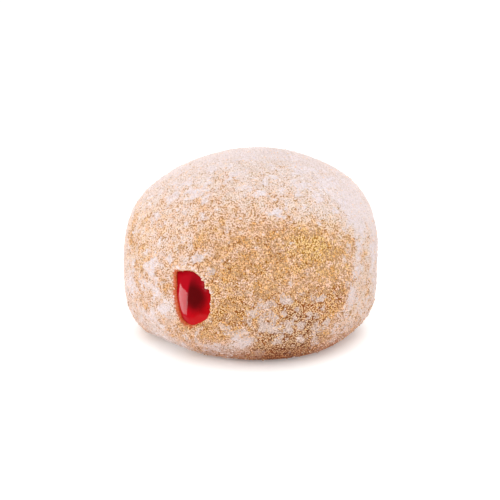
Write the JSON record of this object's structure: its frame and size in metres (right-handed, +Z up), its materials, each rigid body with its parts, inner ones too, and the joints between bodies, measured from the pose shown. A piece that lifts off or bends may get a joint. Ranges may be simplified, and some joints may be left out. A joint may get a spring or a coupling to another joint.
{
  "type": "jelly filled doughnut",
  "caption": "Round, puffed, sugar-dusted fried doughnut with an oval filling hole in its side that shows the red jelly inside it.",
  "frame": {"origin": "on the table, under the middle of the doughnut's box", "axes": "+Z up through the dome; -Y towards the filling hole in the side; +X to the right of the hole"},
  "size_m": [0.0842, 0.0838, 0.0636],
  "materials": {
    "dough": "golden fried dough under a thin, uneven coat of sugar, matte",
    "jelly": "wet, glossy, deep red fruit jelly",
    "sugar": "fine white sugar grains, slightly sparkling"
  },
  "bodies": {
    "root": {"dough": "dough", "jelly": "jelly"}
  },
  "joints": []
}
